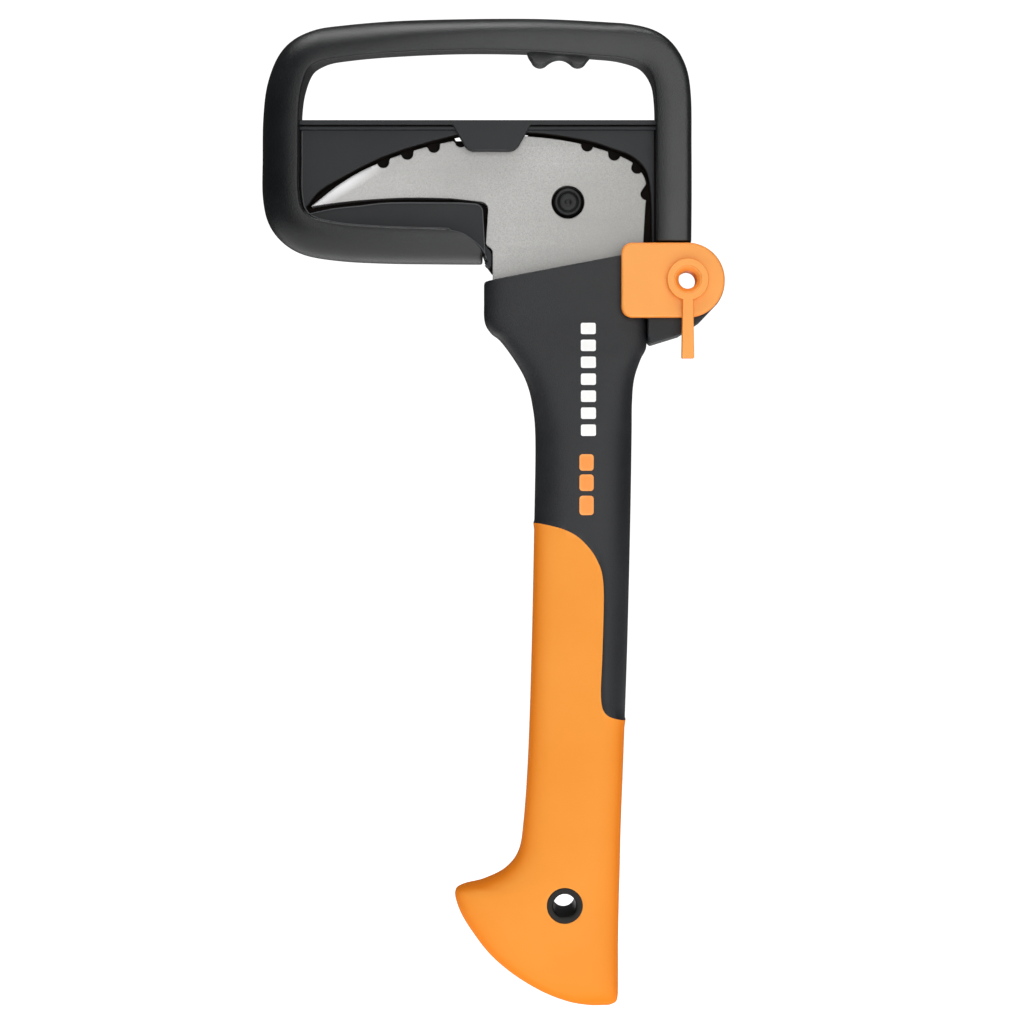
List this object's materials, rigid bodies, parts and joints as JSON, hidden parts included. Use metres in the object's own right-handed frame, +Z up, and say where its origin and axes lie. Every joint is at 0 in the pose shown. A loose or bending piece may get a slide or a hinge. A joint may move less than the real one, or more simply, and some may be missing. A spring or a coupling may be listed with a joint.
{
  "type": "short log-lifting pick in its blade guard",
  "caption": "Short log-lifting pick with a hooked steel beak and a two-material handle, held in a plastic blade guard with a carrying ring and a turning latch.",
  "frame": {"origin": "centre of the hanging hole through the end of the handle, on the blade's mid-plane", "axes": "+Z runs up the handle to the head, +X points away from the beak, and +Y points to the back; the latch and the tab over the blade are on the -Y side"},
  "size_m": [0.1841, 0.0294, 0.3943],
  "materials": {
    "steel": "fine bead-blasted steel with a bright ground edge on the beak",
    "core_composite": "finely textured glass-filled nylon",
    "soft_grip": "smooth matte thermoplastic elastomer",
    "bush_plastic": "smooth moulded nylon",
    "guard_plastic": "satin moulded polypropylene",
    "ring_plastic": "fine spark-eroded texture, satin",
    "screw_steel": "black zinc plating",
    "button_rubber": "matte moulded rubber",
    "latch_plastic": "satin moulded acetal"
  },
  "bodies": {
    "tool_and_guard": {"blade": "steel", "handle_core": "core_composite", "core_end_plug": "core_composite", "soft_grip": "soft_grip", "hang_bush": "bush_plastic", "blade_cradle": "guard_plastic", "ring_front_shell": "ring_plastic", "ring_back_shell": "ring_plastic", "cover_screws": "screw_steel", "finger_rest": "ring_plastic", "blade_button": "button_rubber", "latch_washer": "button_rubber"},
    "latch": {"latch": "latch_plastic", "latch_retainer": "screw_steel"}
  },
  "joints": [
    {"name": "latch_turn", "type": "hinge", "parent": "tool_and_guard", "child": "latch", "pos_m": [0.0483, -0.009, 0.2466], "axis": [0, -1, 0], "range_deg": [0, 180]}
  ]
}
